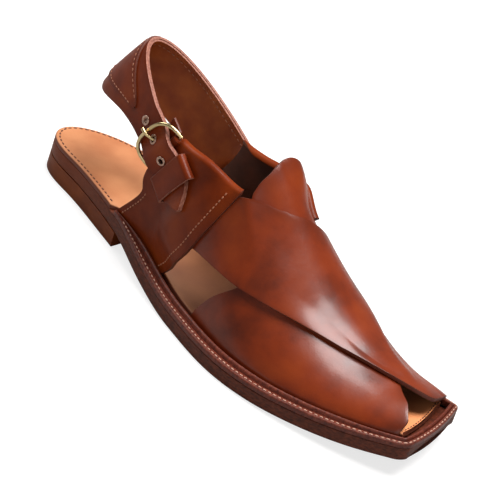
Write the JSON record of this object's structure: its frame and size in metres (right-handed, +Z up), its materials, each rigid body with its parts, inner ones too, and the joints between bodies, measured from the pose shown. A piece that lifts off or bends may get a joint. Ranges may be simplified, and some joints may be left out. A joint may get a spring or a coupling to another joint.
{
  "type": "leather chappal",
  "caption": "Right foot leather sandal: crossed forefoot straps with a throat tab, side quarters, open toe, welted sole and a buckled heel strap.",
  "frame": {"origin": "on the floor under the middle of the heel, at the centre of the heel's flat spot", "axes": "+Y to the toe, +X to the outer side of the right foot, +Z up"},
  "size_m": [0.1002, 0.2899, 0.1079],
  "materials": {
    "sole_leather": "grainy dark edge",
    "heel_leather": "smooth burnished edge",
    "insole_leather": "smooth tan, satin",
    "welt_leather": "satin, pale stitches",
    "upper_leather": "polished cognac, glossy",
    "strap_leather": "polished cognac, satin",
    "brass": "polished",
    "aged_metal": "dull"
  },
  "bodies": {
    "root": {"outsole": "sole_leather", "heel": "heel_leather", "insole": "insole_leather", "welt": "welt_leather", "upper": "upper_leather", "heel_strap": "strap_leather", "keeper": "upper_leather", "buckle_frame": "brass", "buckle_prong": "brass", "eyelet_1": "aged_metal", "eyelet_2": "aged_metal", "eyelet_3": "aged_metal"}
  },
  "joints": []
}
